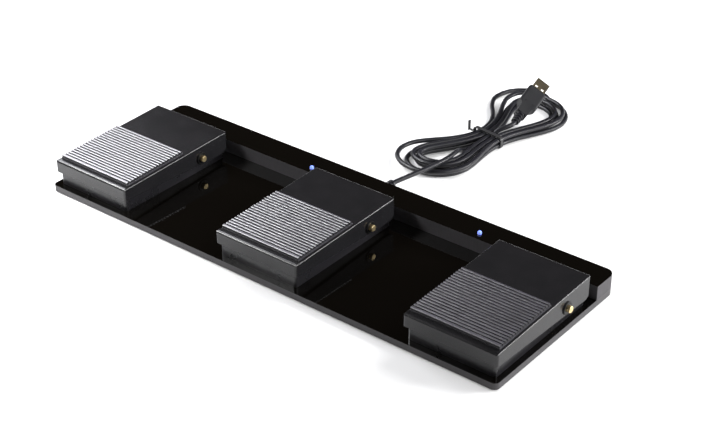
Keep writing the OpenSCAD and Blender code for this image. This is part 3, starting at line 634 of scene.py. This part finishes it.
lamp = textured(
    "blue lamp",
    base=(0.1, 0.18, 0.8),
    other=(0.14, 0.22, 0.9),
    rough=(0.12, 0.2),
    scale=700.0,
    depth=0.00001,
)
add_glow(lamp, colour=(0.25, 0.34, 1.0), strength=0.8)
dress(plastic, *each("switch_body"), "controller_chip", "cable_tie")
dress(pale, *each("switch_plunger"), "board_connectors", "plug_tongue")
dress(rubber, *each("stop_bumpers"), "rubber_feet", "board_pads")
dress(steel, *each("return_spring", "spring", "tray_screws"), "housing_screws")
dress(board, "circuit_board")
dress(lamp, "indicator_leds")


# The floor and the wall round it, in m, and how brightly they glow near the object and far from it.
FLOOR_REACH = 200.0
FLOOR_GREY = (0.55, 0.55, 0.55)
FLOOR_SPECULAR = 0.2
NEAR_GLOW = 0.2
FAR_GLOW = 0.9
GLOW_SPAN = (0.3, 0.75)
WALL_REACH = 12.0
WALL_HEIGHT = 8.0
WALL_SIDES = 64
BLACK = (0.0, 0.0, 0.0)
MATT = 0.8


def add_stage(name, corners, faces, material):
    """A piece of the studio, which isn't part of the object."""
    mesh = bpy.data.meshes.new(name)
    mesh.from_pydata(corners, [], faces)
    mesh.materials.append(material)
    piece = bpy.data.objects.new(name, mesh)
    scene.collection.objects.link(piece)
    return piece


def add_floor():
    """A white floor that glows, more so away from the object, where the lights don't reach."""
    white = finish_of("white floor", FLOOR_GREY, MATT, specular=FLOOR_SPECULAR)
    add_glow(white, WHITE, NEAR_GLOW)
    away = add_node(white, "ShaderNodeVectorMath")
    away.operation = "LENGTH"
    join(white, place_of(white), away.inputs[0])
    glow = spread(white, away.outputs["Value"], NEAR_GLOW, FAR_GLOW, GLOW_SPAN)
    join(white, glow, shader_of(white).inputs["Emission Strength"])
    turns = ((-1, -1), (1, -1), (1, 1), (-1, 1))
    corners = [(FLOOR_REACH * x, FLOOR_REACH * y, 0.0) for x, y in turns]
    add_stage("floor", corners, [(0, 1, 2, 3)], white)


def add_backdrop():
    """A white wall all round, which only the camera sees, so that a low view shows no dark sky."""
    corners = []
    for step in range(WALL_SIDES):
        angle = 2 * pi * step / WALL_SIDES
        for height in (0.0, WALL_HEIGHT):
            corners.append((WALL_REACH * cos(angle), WALL_REACH * sin(angle), height))
    count = len(corners)
    faces = [(i, (i + 2) % count, (i + 3) % count, i + 1) for i in range(0, count, 2)]
    white = finish_of("white wall", BLACK, MATT, specular=0.0)
    add_glow(white, WHITE, FAR_GLOW)
    white.cycles.emission_sampling = "NONE"
    backdrop = add_stage("backdrop", corners, faces, white)
    backdrop.visible_diffuse = False
    backdrop.visible_glossy = False
    backdrop.visible_transmission = False
    backdrop.visible_shadow = False


def add_softbox(name, place, aim, size, power, mirrored=True, spread_angle=180.0, colour=WHITE):
    """A rectangular light at place that faces aim. One that isn't mirrored lights without a glint."""
    data = bpy.data.lights.new(name, "AREA")
    data.shape = "RECTANGLE"
    data.size, data.size_y = size
    data.energy = power
    data.color = colour
    data.spread = radians(spread_angle)
    box = bpy.data.objects.new(name, data)
    scene.collection.objects.link(box)
    box.location = place
    box.visible_camera = False
    box.visible_glossy = mirrored
    box.rotation_euler = (Vector(aim) - Vector(place)).to_track_quat("-Z", "Y").to_euler()


def add_world(colour):
    """An even, dim sky."""
    world = bpy.data.worlds.new("studio")
    world.use_nodes = True
    world.node_tree.nodes["Background"].inputs["Color"].default_value = (*colour, 1.0)
    scene.world = world


add_floor()
add_backdrop()

# Places and sizes of the lights are in m, and their power is in W.
add_softbox(
    "key",
    place=(-0.68, 0.11, 0.6),
    aim=(-0.15, 0.0, 0.0),
    size=(0.5, 0.5),
    power=7.6,
    colour=(0.93, 0.94, 1.0),
)
add_softbox(
    "back",
    place=(0.45, 1.5, 1.0),
    aim=(0.0, 0.0, 0.0),
    size=(1.2, 0.9),
    power=60,
    mirrored=False,
)
add_softbox("side", place=(1.5, 0.2, 1.2), aim=(0.2, 0.1, 0.0), size=(1.0, 1.0), power=15)
rim = {"place": (1.25, 0.95, 0.36), "aim": (0.1, 0.0, 0.02), "size": (0.5, 0.25)}
add_softbox("rim", power=15, **rim)
add_softbox("rim fill", power=40, mirrored=False, **rim)
add_softbox("strip", place=(-0.55, -0.37, 0.55), aim=(-0.1, -0.05, 0.0), size=(0.45, 0.08), power=7)
add_softbox(
    "pool",
    place=(-0.25, -0.22, 0.3),
    aim=(-0.25, -0.2, 0.0),
    size=(0.3, 0.16),
    power=0.9,
    mirrored=False,
    spread_angle=70.0,
)
add_world((0.025, 0.02, 0.015))
scene.view_settings.view_transform = "Standard"

bpy.context.view_layer.update()
